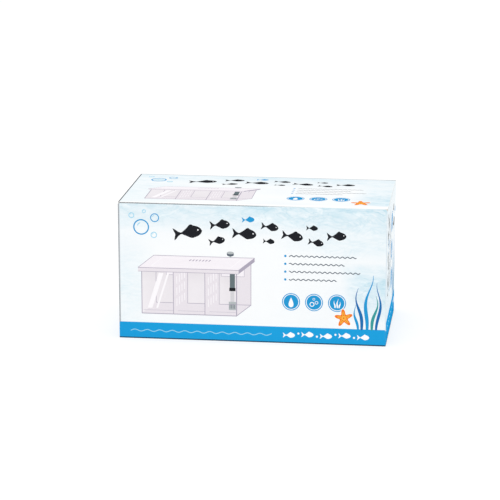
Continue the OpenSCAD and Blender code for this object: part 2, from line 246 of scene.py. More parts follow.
def pane(name, squash):
    """Printed clear plastic: lilac-grey with soft upright gleams and a paler middle."""
    n = Nodes(name)
    p = n.coords()
    fit = n.nt.nodes.new("ShaderNodeMapping")
    fit.inputs["Scale"].default_value = (1.0, 1.0, 0.35)
    n.link(p, fit.inputs["Vector"])
    g = n.ramp(n.noise(fit.outputs[0], 16.0, 2.0), [(0.3, 0.0), (0.7, 1.0)])
    s = n.ramp(n.noise(fit.outputs[0], 75.0, 2.0), [(0.3, 0.0), (0.75, 1.0)])
    col = n.mix(g, srgb(229, 224, 228), srgb(239, 235, 239))
    # darker towards the top, as the shade of a cover would make it
    sep = n.new("ShaderNodeSeparateXYZ")
    n.link(p, sep.inputs[0])
    shade = n.ramp(n.math("MULTIPLY", sep.outputs["Z"], 5.0), [(0.16, 0.0), (0.30, 0.25), (0.385, 1.0), (0.40, 0.4)])
    col = n.mix(n.math("MULTIPLY", shade, 0.75), col, srgb(216, 211, 216))
    return varnished(n, n.mix(n.math("MULTIPLY", s, 0.22), col, srgb(247, 244, 247)))


def board(name, rgb, dark):
    """Bare board: matt, with short fibres and a few darker flecks."""
    n = Nodes(name)
    p = n.coords()
    f = n.noise(p, 1500.0, 5.0, 0.7, 0.6)
    fleck = n.ramp(n.noise(p, 700.0, 2.0), [(0.70, 0.0), (0.78, 1.0)])
    col = n.mix(n.ramp(f, [(0.3, 0.0), (0.7, 1.0)]), srgb(*[c - dark for c in rgb]), srgb(*rgb))
    col = n.mix(n.math("MULTIPLY", fleck, 0.25), col, srgb(176, 166, 150))
    return n.surface(n.principled(col, 0.82, n.bump(f, 0.35, 0.0001), Specular_IOR_Level=0.25))


def flap(name, rgb, dark, up):
    """One flap of the board: bare inside, coated white on its outer face, which looks up or down when closed."""
    n = Nodes(name)
    tc = n.new("ShaderNodeTexCoord")
    p = tc.outputs["Object"]
    sep = n.new("ShaderNodeSeparateXYZ")
    n.link(tc.outputs["Normal"], sep.inputs[0])
    outer = n.math("GREATER_THAN", n.math("MULTIPLY", sep.outputs["Z"], 1.0 if up else -1.0), 0.5)
    f = n.noise(p, 1500.0, 5.0, 0.7, 0.6)
    fleck = n.ramp(n.noise(p, 700.0, 2.0), [(0.70, 0.0), (0.78, 1.0)])
    bare = n.mix(n.ramp(f, [(0.3, 0.0), (0.7, 1.0)]), srgb(*[c - dark for c in rgb]), srgb(*rgb))
    bare = n.mix(n.math("MULTIPLY", fleck, 0.25), bare, srgb(176, 166, 150))
    coat = n.mix(n.ramp(n.noise(p, 60.0, 3.0), [(0.35, 0.0), (0.7, 1.0)]), srgb(240, 243, 245), srgb(246, 247, 248))
    rough = n.math("SUBTRACT", 0.82, n.math("MULTIPLY", outer, 0.34))
    relief = n.bump(f, 0.2, 0.0001)
    return n.surface(n.principled(n.mix(outer, bare, coat), rough, relief, Specular_IOR_Level=0.25))


def crease(name, dark, axis="X", stops=((-0.2, 1.0), (0.2, 1.0))):
    """Print over a fold: the ink is thinner and lets the white board through in specks.
    dark is the colour of a painted fold shade line along the fold, which fades as the stops say along the axis. A dark
    painted shadow line runs along the bottom edge, over the rest."""
    n = Nodes(name)
    p = n.coords()
    wear = n.ramp(n.noise(p, 650.0, 4.0, 0.7), [(0.46, 0.0), (0.60, 1.0)])
    long = n.ramp(n.noise(p, 45.0, 2.0), [(0.4, 0.10), (0.65, 0.6)])
    sep = n.new("ShaderNodeSeparateXYZ")
    n.link(p, sep.inputs[0])
    low = n.ramp(n.math("MULTIPLY", sep.outputs["Z"], 5.0), [(0.0815, 1.0), (0.083, 0.0)])
    line = n.ramp(n.math("MULTIPLY", n.math("ADD", sep.outputs[axis], 0.2), 2.5), [((x + 0.2) * 2.5, k) for x, k in stops])
    # painted fold shade: the line colour along the fold, worn through to the white board in specks
    col = n.mix(n.math("MULTIPLY", wear, long), n.mix(line, srgb(226, 236, 242), dark), srgb(246, 246, 244))
    # painted shadow: a dark line along the bottom edge, below 1.2 to 1.4 mm
    bottom_shadow_mask = n.ramp(n.math("MULTIPLY", sep.outputs["Z"], 5.0), [(0.0060, 1.0), (0.0070, 0.0)])
    col = n.mix(low, col, n.mix(n.math("MULTIPLY", wear, 0.30), srgb(10, 148, 208), srgb(120, 190, 226)))
    return varnished(n, n.mix(bottom_shadow_mask, col, srgb(14, 76, 106)))


INK = {
    "water": water("print_water", (1.0, 1.0, 2.4), [
        (0.9, ("X", [(-0.14, 0.62), (-0.02, 0.70), (0.06, 1.0)]), ("Z", [(0.108, 0.0), (0.122, 0.45), (0.134, 0.8), (0.143, 1.0)])),
        (0.42, ("X", [(0.02, 0.0), (0.08, 0.8), (0.14, 1.0)]), ("Z", [(0.090, 0.0), (0.106, 0.8), (0.143, 1.0)])),
        (0.8, ("X", [(0.088, 0.0), (0.108, 0.9), (0.14, 1.0)]), ("Z", [(0.026, 0.0), (0.040, 0.6), (0.066, 1.0), (0.080, 0.5), (0.090, 0.0)])),
        (0.30, ("X", [(-0.14, 1.0), (-0.115, 0.7), (-0.10, 0.0)]), ("Z", [(0.02, 0.6), (0.06, 1.0), (0.10, 0.4)]))]),
    "water_side": water("print_water_side", (1.0, 1.0, 2.2), [
        (0.42, ("Z", [(0.024, 0.7), (0.050, 0.9), (0.085, 0.25), (0.115, 0.35), (0.143, 0.8)]))]),
    "water_top": water("print_water_top", (1.0, 2.4, 1.0), [
        (0.45, ("Y", [(0.020, 0.0), (0.046, 0.5), (0.060, 0.8), (0.071, 1.0)])),
        (0.25, ("X", [(-0.14, 1.0), (-0.10, 0.6), (-0.06, 0.0)])),
        (0.65, ("X", [(0.095, 0.0), (0.115, 0.8), (0.14, 1.0)]), ("Y", [(-0.058, 0.0), (-0.050, 0.9), (-0.02, 1.0), (0.03, 0.5)]))]),
    "pane": pane("print_pane", (1.0, 1.0, 1.0)),
    # the crease colours are painted fold shade: pale on the upright folds, greyer on the rear hinge edge and the
    # front-left fold, darkest under the lid's front fold, fading to the right
    "band": band(), "crease": crease("print_crease", srgb(214, 226, 234)), "fold": crease("print_fold_shade_rear", srgb(196, 210, 220)),
    "fold_shade_left": crease("print_fold_shade_left", srgb(150, 156, 162)),
    "fold_shade_lid": crease("print_fold_shade_lid", srgb(70, 78, 86), "X", ((-0.138, 1.0), (-0.04, 0.8), (0.03, 0.35), (0.07, 0.0))),
    "deep": ink("print_deep_blue", (16, 104, 170)),
    "blue": ink("print_blue", (24, 148, 206)),
    "sky": ink("print_sky", (150, 208, 232)),
    "pale": ink("print_pale_blue", (205, 231, 242), 0.02),
    "white": ink("print_white", (248, 249, 250), 0.01),
    "navy": ink("print_navy", (12, 15, 24)),
    "grey": ink("print_grey", (84, 94, 106)),
    # a dark line for the walls' bottom edge: painted shadow
    "rim": ink("print_bottom_shadow_line", (12, 72, 102)),
    "shade": ink("print_fold_shade", (174, 179, 184), 0.03),
    "shade2": ink("print_fold_shade_dark", (96, 100, 106), 0.03),
    # a dark line along the lid's left edge: painted shade of the gap there
    "line": ink("print_lid_edge_shade", (66, 72, 80)),
    "lilac": ink("print_lilac", (241, 236, 241), 0.02),
    "lilac2": ink("print_lilac_mid", (228, 222, 228), 0.02),
    "lilac3": ink("print_lilac_edge", (168, 161, 178), 0.03),
    "gleam": ink("print_gleam", (246, 243, 246), 0.01),
    "tube3": ink("print_tube_clear", (208, 206, 210), 0.02),
    "tube": ink("print_tube", (98, 112, 116)),
    "tube2": ink("print_tube_light", (176, 182, 184)),
    "orange": ink("print_orange", (238, 120, 32)),
    "amber": ink("print_amber", (250, 176, 60)),
    "red": ink("print_red", (196, 44, 30)),
    "green": ink("print_teal", (52, 150, 150)),
    "inside": board("board_inside", (236, 234, 228), 12),
    "edge": board("board_edge", (240, 238, 233), 14),
}


# --------------------------------------------------------- printed shapes
def circle(cx, cy, r, n=None, ry=None):
    n = n or max(14, min(44, int(r * 6)))
    return [(cx + r * math.cos(2 * math.pi * i / n), cy + (ry or r) * math.sin(2 * math.pi * i / n)) for i in range(n)]


def rect(x0, y0, x1, y1, r=0.0):
    if not r:
        return [(x0, y0), (x1, y0), (x1, y1), (x0, y1)]
    out = []
    for cx, cy, a0 in ((x1 - r, y0 + r, -90), (x1 - r, y1 - r, 0), (x0 + r, y1 - r, 90), (x0 + r, y0 + r, 180)):
        out += [(cx + r * math.cos(math.radians(a0 + 15 * i)), cy + r * math.sin(math.radians(a0 + 15 * i))) for i in range(7)]
    return out


def turn(poly, cx, cy, deg, sx=1.0, sy=1.0):
    c, s = math.cos(math.radians(deg)), math.sin(math.radians(deg))
    return [(cx + c * x * sx - s * y * sy, cy + s * x * sx + c * y * sy) for x, y in poly]


def stroke(pts, w, taper=None):
    """A line of width w along pts, closed round with short caps. taper gives a width factor along it."""
    P = np.array(pts, float)
    t = np.gradient(P, axis=0)
    t /= np.linalg.norm(t, axis=1)[:, None] + 1e-12
    nrm = np.stack([-t[:, 1], t[:, 0]], 1)
    k = np.ones(len(P)) if taper is None else np.array([taper(i / (len(P) - 1)) for i in range(len(P))])
    off = nrm * (w / 2 * k)[:, None]
    a, b = P + off, P - off
    tip0, tip1 = P[0] - t[0] * w / 2 * k[0], P[-1] + t[-1] * w / 2 * k[-1]
    return [tuple(tip0)] + [tuple(q) for q in b] + [tuple(tip1)] + [tuple(q) for q in a[::-1]]


def wavy(x0, x1, y, amp, length, phase=0.0, step=1.2):
    n = max(4, int(abs(x1 - x0) / step))
    return [(x0 + (x1 - x0) * i / n, y + amp * math.sin(2 * math.pi * (x0 + (x1 - x0) * i / n) / length + phase)) for i in range(n + 1)]


def fish(cx, cy, size, deg=0.0, flip=1):
    """A plain small fish: a leaf body with a back fin, a belly fin and a forked tail. size is its length."""
    n = 18
    up = []
    for i in range(n):
        k = i / n
        y = 0.205 * math.sin(math.pi * k ** 0.74) ** 0.85
        fin = math.exp(-((k - 0.52) / 0.15) ** 2) * 0.075 * (1.0 if k > 0.40 else 0.55)
        up.append((0.5 - 0.74 * k, y + fin))
    tail = [(-0.25, 0.032), (-0.34, 0.085), (-0.42, 0.165), (-0.5, 0.215), (-0.468, 0.10), (-0.44, 0.03), (-0.435, 0.0)]
    top = up + tail
    bottom = [(x, -(y if i >= len(up) else 0.90 * (y - 0.55 * max(0.0, y - 0.205 * math.sin(math.pi * (i / n) ** 0.74) ** 0.85))))
              for i, (x, y) in list(enumerate(top))[1:-1]][::-1]
    return turn([(x * flip, y) for x, y in top + bottom], cx, cy, deg, size, size)


def eye(cx, cy, size, deg, flip=1):
    """Where the fish's eye goes."""
    return turn([(x * flip + 0.36 * flip, y + 0.045) for x, y in circle(0, 0, 0.026, 12)], cx, cy, deg, size, size)


def star(cx, cy, r, deg=0.0, inner=0.46):
    """A soft five-armed starfish outline."""
    out = []
    for i in range(70):
        a = 2 * math.pi * i / 70
        k = 0.5 + 0.5 * math.cos(5 * a)
        out.append((r * (inner + (1 - inner) * k ** 1.35) * math.cos(a), r * (inner + (1 - inner) * k ** 1.35) * math.sin(a)))
    return turn(out, cx, cy, deg)


def drop(cx, cy, r):
    out = []
    for i in range(36):
        a = 2 * math.pi * i / 36
        y = math.cos(a)
        out.append((cx + r * 0.78 * math.sin(a) * math.sin(a / 2) ** 1.5 if a <= math.pi else cx + r * 0.78 * math.sin(a) * math.sin((2 * math.pi - a) / 2) ** 1.5,
                    cy + r * 1.15 * y))
    return out


def blade(x, y0, height, lean, w, phase):
    pts = []
    for i in range(23):
        k = i / 22
        pts.append((x + lean * k + math.sin(k * 6.3 + phase) * height * 0.055 * (0.3 + k), y0 + height * k))
    return stroke(pts, w, lambda k: max(0.10, (1 - k) ** 0.55 * (0.75 + 0.5 * math.sin(min(1, k * 1.4) * math.pi))))


def ring(put, cx, cy, r, colour, w=0.7, inside="water"):
    put(circle(cx, cy, r), colour)
    put(circle(cx, cy, r - w), inside)


def picture(put, x, y, s, mirror=1):
    """A small drawing of a clear divided box with its cover, seen from one corner. s is millimetres per unit."""
    def q(a, b, c):                     # length, depth, height, to the page
        return (x + mirror * s * (a + 0.42 * b), y + s * (c + 0.34 * b))
    LN, DP, HT = 100.0, 36.0, 50.0
    def quad(pts, colour):
        put([q(*p) for p in pts], colour)
    def line(p0, p1, w, colour="lilac3"):
        a, b = q(*p0), q(*p1)
        put(stroke([a, ((a[0] + b[0]) / 2, (a[1] + b[1]) / 2), b], 0.78 * w * s), colour)
    quad([(0, 0, 0), (LN, 0, 0), (LN, DP, 0), (0, DP, 0)], "lilac2")
    quad([(0, DP, 0), (LN, DP, 0), (LN, DP, HT), (0, DP, HT)], "pane")
    quad([(0, 0, 0), (LN, 0, 0), (LN, 0, HT), (0, 0, HT)], "pane")
    quad([(0, 0, 0), (LN, 0, 0), (LN, DP, 0), (0, DP, 0)], "lilac2")
    quad([(LN, 0, 0), (LN, DP, 0), (LN, DP, HT), (LN, 0, HT)], "lilac2")
    # hook plates and the lift tube, seen through the rear wall at the far end
    for a0, a1 in ((8, 28), (66, 90)):
        quad([(a0, DP + 7, 28), (a1, DP + 7, 28), (a1, DP + 7, 45), (a0, DP + 7, 45)], "lilac")
        line((a0, DP + 7, 28), (a1, DP + 7, 28), 0.5)
        line((a0, DP + 7, 28), (a0, DP + 7, 45), 0.5)
        line((a1, DP + 7, 28), (a1, DP + 7, 45), 0.5)
    for a0, c0, c1, ww, col in ((78, -8, 1, 7.6, "tube2"), (78, 1, 15, 4.2, "tube3"), (78, 14, 37, 5.4, "tube"), (78, 12.5, 16, 6.6, "navy")):
        quad([(a0 - ww / 2, DP + 6, c0), (a0 + ww / 2, DP + 6, c0), (a0 + ww / 2, DP + 6, c1), (a0 - ww / 2, DP + 6, c1)], col)
    for i in range(4):
        quad([(75.2 + i * 1.6, DP + 6, -6.4), (75.8 + i * 1.6, DP + 6, -6.4), (75.8 + i * 1.6, DP + 6, -1.5), (75.2 + i * 1.6, DP + 6, -1.5)], "grey")
    line((1.5, 1, 3.4), (LN - 1.5, 1, 3.4), 0.35)
    line((0, DP, 0), (LN, DP, 0), 0.7)
    line((0, DP, 0), (0, DP, HT), 0.7)
    for a in (100 / 3, 200 / 3):
        quad([(a, 0, 0), (a, DP, 0), (a, DP, HT - 2), (a, 0, HT - 2)], "lilac2")
        line((a, 0, 0), (a, 0, HT - 2), 0.9)
        line((a, DP, 0), (a, DP, HT - 2), 0.6)
        line((a, 0, HT - 2), (a, DP, HT - 2), 0.7)
        for j in range(3):
            for i in range(4):
                b0 = 8 + i * 6.5
                c0 = 6 + j * 12
                quad([(a, b0, c0), (a, b0 + 1.6, c0), (a, b0 + 1.6, c0 + 8), (a, b0, c0 + 8)], "gleam")
    # gleam on the front pane
    quad([(6, 0, 6), (11, 0, 6), (23, 0, 44), (18, 0, 44)], "gleam")
    quad([(15, 0, 6), (17, 0, 6), (29, 0, 44), (27, 0, 44)], "gleam")
    line((0, 0, 0), (LN, 0, 0), 1.1)
    line((0, 0, 0), (0, 0, HT), 1.1)
    line((LN, 0, 0), (LN, 0, HT), 1.3)
    line((LN, 0, 0), (LN, DP, 0), 0.9)
    line((LN, DP, 0), (LN, DP, HT), 0.8)
    # cover
    quad([(-3, -2, HT), (LN + 3, -2, HT), (LN + 3, DP + 2, HT), (-3, DP + 2, HT)], "lilac")
    quad([(-3, -2, HT - 4), (LN + 3, -2, HT - 4), (LN + 3, -2, HT), (-3, -2, HT)], "lilac2")
    quad([(LN + 3, -2, HT - 4), (LN + 3, DP + 2, HT - 4), (LN + 3, DP + 2, HT), (LN + 3, -2, HT)], "lilac3")
    line((-3, -2, HT), (LN + 3, -2, HT), 0.8)
    line((-3, -2, HT - 4), (LN + 3, -2, HT - 4), 0.6)
    line((-3, DP + 2, HT), (LN + 3, DP + 2, HT), 0.7)
    line((-3, -2, HT), (-3, DP + 2, HT), 0.7)
    line((LN + 3, -2, HT), (LN + 3, DP + 2, HT), 0.8)
    quad([(8, 4, HT), (LN - 8, 4, HT), (LN - 8, DP - 4, HT), (8, DP - 4, HT)], "gleam")
    quad([(9, 5, HT), (LN - 9, 5, HT), (LN - 9, DP - 5, HT), (9, DP - 5, HT)], "lilac")
    for i in range(7):
        quad([(40 + i * 3.4, DP - 13, HT), (41.4 + i * 3.4, DP - 13, HT), (41.4 + i * 3.4, DP - 8, HT), (40 + i * 3.4, DP - 8, HT)], "lilac3")
    # the knob over the rear edge
    kx, ky = q(78, DP + 1, HT)
    put(rect(kx - 1.0 * s, ky, kx + 1.0 * s, ky + 3.4 * s), "tube2")
    put(circle(kx, ky + 3.0 * s, 3.6 * s, 28, 1.5 * s), "grey")
    put(rect(kx - 3.6 * s, ky + 3.0 * s, kx + 3.6 * s, ky + 5.2 * s), "grey")
    put(circle(kx, ky + 5.2 * s, 3.6 * s, 28, 1.5 * s), "tube2")


def starfish(put, cx, cy, r, deg):
    put(star(cx, cy, r * 1.09, deg), "white")
    put(star(cx, cy, r, deg), "orange")
    put(star(cx, cy, r * 0.72, deg, 0.30), "amber")
    for k in range(5):
        a = math.radians(deg + 72 * k)
        for d, rr in ((0.30, 0.052), (0.46, 0.045), (0.60, 0.038), (0.73, 0.03)):
            put(circle(cx + r * d * math.cos(a), cy + r * d * math.sin(a), r * rr, 12), "red")
    put(circle(cx, cy, r * 0.07, 14), "red")


def weeds(put, x, y0, s, cols=("deep", "blue", "green")):
    for dx, h, lean, w, ph, c in ((-7, 44, -5, 3.4, 0.4, 0), (-2, 58, 3, 3.8, 2.0, 1), (4, 36, 5, 3.2, 3.6, 2), (9, 50, 3, 3.0, 5.0, 0), (-11, 26, -4, 2.8, 1.2, 1)):
        put(blade(x + dx * s, y0, h * s, lean * s, w * s, ph), cols[c])


def badge(put, cx, cy, r, what):
    put(circle(cx, cy, r, 40), "blue")
    put(circle(cx, cy, r * 0.9, 40), "white")
    put(circle(cx, cy, r * 0.82, 40), "blue")
    if what == "drop":
        put(drop(cx, cy - 0.05 * r, r * 0.5), "white")
    elif what == "bubbles":
        for dx, dy, k in ((-0.22, -0.22, 0.27), (0.28, -0.02, 0.19), (-0.02, 0.38, 0.14)):
            put(circle(cx + dx * r, cy + dy * r, k * r, 20), "white")
            put(circle(cx + dx * r, cy + dy * r, k * r * 0.68, 20), "blue")
    elif what == "leaf":
        for dx, h, lean, ph in ((-0.22, 0.8, -0.1, 0.3), (0.02, 1.05, 0.05, 2.0), (0.24, 0.7, 0.12, 4.0)):
            put(blade(cx + dx * r, cy - 0.52 * r, h * r, lean * r, 0.16 * r, ph), "white")
    elif what == "fish":
        put(fish(cx, cy, r * 1.15, 12), "white")
    elif what == "hook":
        put(rect(cx - 0.5 * r, cy - 0.42 * r, cx - 0.02 * r, cy + 0.2 * r), "white")
        put(rect(cx - 0.42 * r, cy - 0.34 * r, cx - 0.10 * r, cy + 0.12 * r), "blue")
        put(rect(cx - 0.02 * r, cy + 0.2 * r, cx + 0.36 * r, cy + 0.3 * r), "white")
        put(rect(cx + 0.28 * r, cy - 0.1 * r, cx + 0.36 * r, cy + 0.24 * r), "white")
        put(rect(cx + 0.1 * r, cy - 0.55 * r, cx + 0.18 * r, cy + 0.16 * r), "sky")


def features(put, x, y, gap, lengths, k=1.0):
    for i, ln in enumerate(lengths):
        yy = y - i * gap
        put(circle(x, yy, 1.25 * k, 20), "blue")
        put(stroke(wavy(x + 4 * k, x + ln, yy, 0.7 * k, 5.2 * k, i * 1.3, 0.6 * k), 0.95 * k), "grey")


def school(put, items, x=0.0, y=0.0, kx=1.0, ky=1.0):
    for fx, fy, size, deg, flip, col in items:
        put(fish(x + fx * kx, y + fy * ky, size, deg, flip), col)
        if size > 14:
            put(eye(x + fx * kx, y + fy * ky, size, deg, flip), "white")


SCHOOL = [(0, 0, 30, 9, 1, "navy"), (33, 9, 21, 5, 1, "navy"), (30, -8, 17, 12, 1, "navy"), (58, 0, 25, -3, 1, "navy"),
          (62, 15, 13, 3, 1, "blue"), (84, 8, 18, -8, 1, "navy"), (83, -7, 12, -4, 1, "navy"), (107, -1, 22, -9, 1, "navy"),
          (127, 8, 12, -2, 1, "navy"), (131, -7, 16, -10, 1, "navy"), (152, 0, 20, 2, 1, "navy")]


def front_art(put, w, h):
    put(rect(-2, -2, w + 2, 17.3), "band")
    # painted shadow: a dark line along the bottom edge
    put(rect(-2, -2, w + 2, 1.3), "rim")
    # the darker lines beside the upright fold and under the lid's fold
    put([(-2, 17.3), (1.7, 17.3), (1.7, h + 2), (-2, h + 2)], "shade")
    put([(-2, h - 0.5), (w * 0.30, h - 0.45), (w * 0.52, h - 0.3), (w * 0.62, h - 0.02), (w * 0.62, h + 2), (-2, h + 2)], "shade2")
    # white fish and bubbles in the band
    for i in range(5):
        put(fish(176 + i * 19, 8.9 + (0.7 if i % 2 else -0.4), 12.5, 0, 1), "white")
        if i < 4:
            put(circle(185.7 + i * 19, 10.6 - (i % 2) * 2.6, 1.1, 16), "white")
    put(stroke(wavy(12, 158, 8.6, 0.95, 13.0), 0.8), "sky")
    picture(put, 24, 27, 0.98)
    school(put, SCHOOL, 72, 113.5)
    # bubbles at the top left
    for bx, by, r in ((24, 118, 8.2), (38, 128, 4.6), (37, 110, 3.3), (14, 130, 3.0), (27, 134.5, 2.0)):
        ring(put, bx, by, r, "blue" if r > 4 else "sky", 0.5 + r * 0.10)
        put(stroke([(bx - r * 0.45, by + r * 0.2), (bx - r * 0.36, by + r * 0.42), (bx - r * 0.15, by + r * 0.52)], 0.10 * r + 0.2), "sky")
    features(put, 172, 92, 8.2, (72, 60, 76, 52))
    for i, what in enumerate(("drop", "bubbles", "leaf")):
        badge(put, 178 + i * 23.5, 44, 9.2, what)
    weeds(put, 257, 17.3, 0.98)
    starfish(put, 232, 28.5, 9.6, 24)


def top_art(put, w, h):
    put([(-2, -2), (w + 2, -2), (w + 2, 11.0), (w * 0.62, 7.5), (w * 0.3, 4.5), (-2, 4.0)], "white")
    # painted shade: a dark line along the lid's left edge, for the gap there
    put(rect(-2, -2, 1.1, h + 2), "line")
    # the darker line along the rear fold
    put([(-2, h - 1.7), (w * 0.5, h - 1.4), (w + 2, h - 1.6), (w + 2, h + 2), (-2, h + 2)], "shade")
    put([(w * 0.9, h - 0.05), (w + 2, h - 1.3), (w + 2, h + 2), (w * 0.9, h + 2)], "shade2")
    picture(put, 24, 20, 0.95)
    school(put, SCHOOL, 72, 108, 1.0, 1.1)
    for bx, by, r in ((24, 112, 8.2), (38, 123, 4.6), (37, 104, 3.3), (14, 126, 3.0)):
        ring(put, bx, by, r, "blue" if r > 4 else "sky", 0.5 + r * 0.10)
    features(put, 172, 86, 8.2, (72, 60, 76, 52))
    for i, what in enumerate(("drop", "bubbles", "leaf")):
        badge(put, 178 + i * 23.5, 38, 9.2, what)
    starfish(put, 246, 24, 10.5, 24)


def side_art(put, w, h, flip):
    put(rect(-2, -2, w + 2, 24.6), "band")
    # painted shadow: a dark line along the bottom edge
    put(rect(-2, -2, w + 2, 1.3), "rim")
    m = lambda x: w - x if flip else x
    put(stroke([(m(a), b) for a, b in wavy(8, w - 31, 14.5, 1.6, 18.0)], 0.9), "sky")
    put(stroke([(m(a), b) for a, b in wavy(8, w - 12, 7.0, 1.3, 18.0, 1.0)], 0.9), "deep")
    put(fish(m(w - 16), 15, 15, 0, -1 if flip else 1), "white")
    # a school that swims upwards near the front edge, with upright wave lines beside it
    for x, y, size, deg, col in ((24, 58, 24, 84, "navy"), (34, 74, 15, 97, "navy"), (22, 84, 20, 93, "navy"), (33, 97, 17, 82, "blue"),
                                 (21, 108, 17, 98, "navy"), (32, 118, 20, 88, "navy"), (22, 128, 12, 92, "navy"), (37, 54, 10, 88, "navy")):
        put(fish(m(x), y, size, deg if not flip else 180 - deg), col)
        if size > 14:
            put(eye(m(x), y, size, deg if not flip else 180 - deg), "white")
    for i, (x, y0, y1) in enumerate(((46, 47, 130), (52, 47, 116), (58, 47, 132), (64, 47, 108))):
        put(circle(m(x), y0, 1.5, 20), "blue")
        put(stroke([(m(x + 0.8 * math.sin(k * 0.9 + i)), y0 + 5 + (y1 - y0 - 5) * k / 90) for k in range(91)], 1.3), "grey")
    badge(put, m(82), 52, 11, "hook")
    badge(put, m(82), 82, 11, "drop")
    badge(put, m(82), 112, 11, "bubbles")
    weeds(put, m(118), 24.6, 1.25)
    school(put, [(0, 0, 22, 8, -1 if flip else 1, "navy"), (20, 10, 13, 3, -1 if flip else 1, "blue"), (-6, 17, 15, 12, -1 if flip else 1, "navy")], m(112), 104, -1.0 if flip else 1.0)


def rear_art(put, w, h):
    put(rect(-2, -2, w + 2, 17.3), "band")
    # painted shadow: a dark line along the bottom edge
    put(rect(-2, -2, w + 2, 1.3), "rim")
    put(stroke(wavy(14, w - 14, 8.6, 0.95, 13.0), 0.8), "sky")
    for i, what in enumerate(("hook", "fish", "leaf")):
        x0 = 24 + i * 46
        put(rect(x0, 74, x0 + 38, 124, 4), "blue")
        put(rect(x0 + 1, 75, x0 + 37, 123, 3.4), "white")
        badge(put, x0 + 19, 101, 12.5, what)
        put(stroke(wavy(x0 + 7, x0 + 31, 81.5, 0.5, 5.2), 0.75), "grey")
    picture(put, 168, 62, 0.62)
    features(put, 26, 62, 7.2, (112, 96, 118, 88))
    features(put, 160, 46, 7.2, (84, 92, 70))
    for i in range(6):
        put(circle(237 + i * 5.4, 24 + (i % 3) * 3.0, 1.9 - 0.18 * i, 20), "sky")


# ------------------------------------------------------------ board panels
class Build:
    """Gathers faces by place, so that neighbouring panels share their edges, with a flat map of each."""

    def __init__(self):
        self.v, self.key, self.f, self.m, self.uv, self.mats = [], {}, [], [], [], []

    def vid(self, p):
        k = (round(p[0] * 2000), round(p[1] * 2000), round(p[2] * 2000))
        if k not in self.key:
            self.key[k] = len(self.v)
            self.v.append((p[0] * MM, p[1] * MM, p[2] * MM))
        return self.key[k]

    def face(self, pts, colour, uvs):
        ids = [self.vid(p) for p in pts]
        keep = [i for i in range(len(ids)) if ids[i] != ids[i - 1]]
        if len(set(ids)) < 3 or len(keep) < 3:
            return
        if colour not in self.mats:
            self.mats.append(colour)
        self.f.append([ids[i] for i in keep])
        self.uv.append([uvs[i] for i in keep])
        self.m.append(self.mats.index(colour))

    def make(self, name, body, *replaces, span=440.0):
        me = bpy.data.meshes.new(name)
        me.from_pydata(self.v, [], self.f)
        for c in self.mats:
            me.materials.append(INK[c])
        me.polygons.foreach_set("material_index", self.m)
        layer = me.uv_layers.new(name="OFBake")
        flat = [c for face in self.uv for p in face for c in (p[0] / span, p[1] / span)]
        layer.data.foreach_set("uv", flat)
        me.validate()
        me.update()
        ob = bpy.data.objects.new(name, me)
        scene.collection.objects.link(ob)
        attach(ob, body)
        if replaces:
            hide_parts(*replaces)
        return ob


def inside(poly, pts):
    """Which of the points lie in the polygon."""
    P = np.array(poly)
    x, y = pts[:, 0], pts[:, 1]
    box = (x >= P[:, 0].min()) & (x <= P[:, 0].max()) & (y >= P[:, 1].min()) & (y <= P[:, 1].max())
    hit = np.zeros(len(pts), bool)
    idx = np.nonzero(box)[0]
    if len(idx) == 0:
        return hit
    px, py = x[idx, None], y[idx, None]
    x0, y0 = P[:, 0][None], P[:, 1][None]
    x1, y1 = np.roll(P[:, 0], -1)[None], np.roll(P[:, 1], -1)[None]
    cross = (y0 > py) != (y1 > py)
    with np.errstate(divide="ignore", invalid="ignore"):
        at = (x1 - x0) * (py - y0) / (y1 - y0) + x0
    hit[idx] = (cross & (px < at)).sum(1) % 2 == 1
    return hit


def printed(outline, art, w, h, base="water"):
    """Cuts the panel's outline along the edges of its print. Gives triangles with their colours, in page millimetres."""
    paints = []
    if art:
        art(lambda poly, colour: paints.append(([(round(a, 4), round(b, 4)) for a, b in poly], colour)), w, h)
    verts, edges = [], []
    def loop(poly):
        k = len(verts)
        verts.extend(Vector(p) for p in poly)
        edges.extend((k + i, k + (i + 1) % len(poly)) for i in range(len(poly)))
    loop(outline)
    for poly, _ in paints:
        loop(poly)
    v, e, f, *_ = delaunay_2d_cdt(verts, edges, [], 0, 1e-4, False)
    V = np.array([(p[0], p[1]) for p in v])
    F = np.array([list(t) for t in f])
    C = V[F].mean(axis=1)
    keep = inside(outline, C)
    F, C = F[keep], C[keep]
    colour = np.zeros(len(F), int) - 1
    for i, (poly, _) in enumerate(paints):
        colour[inside(poly, C)] = i
    names = [base if c < 0 else paints[c][1] for c in colour]
    return V, F, names


def edge_points(V, F, axis, value):
    """The panel's own points on one straight side, in order."""
    used = np.unique(F)
    on = used[np.abs(V[used, axis] - value) < 2e-4]
    return sorted(float(V[i, 1 - axis]) for i in on)


RC = 0.9                                   # outer radius of the upright folds
SIDES = [0.0, 1.3, 17.3, 24.6, 60.0, 100.0]


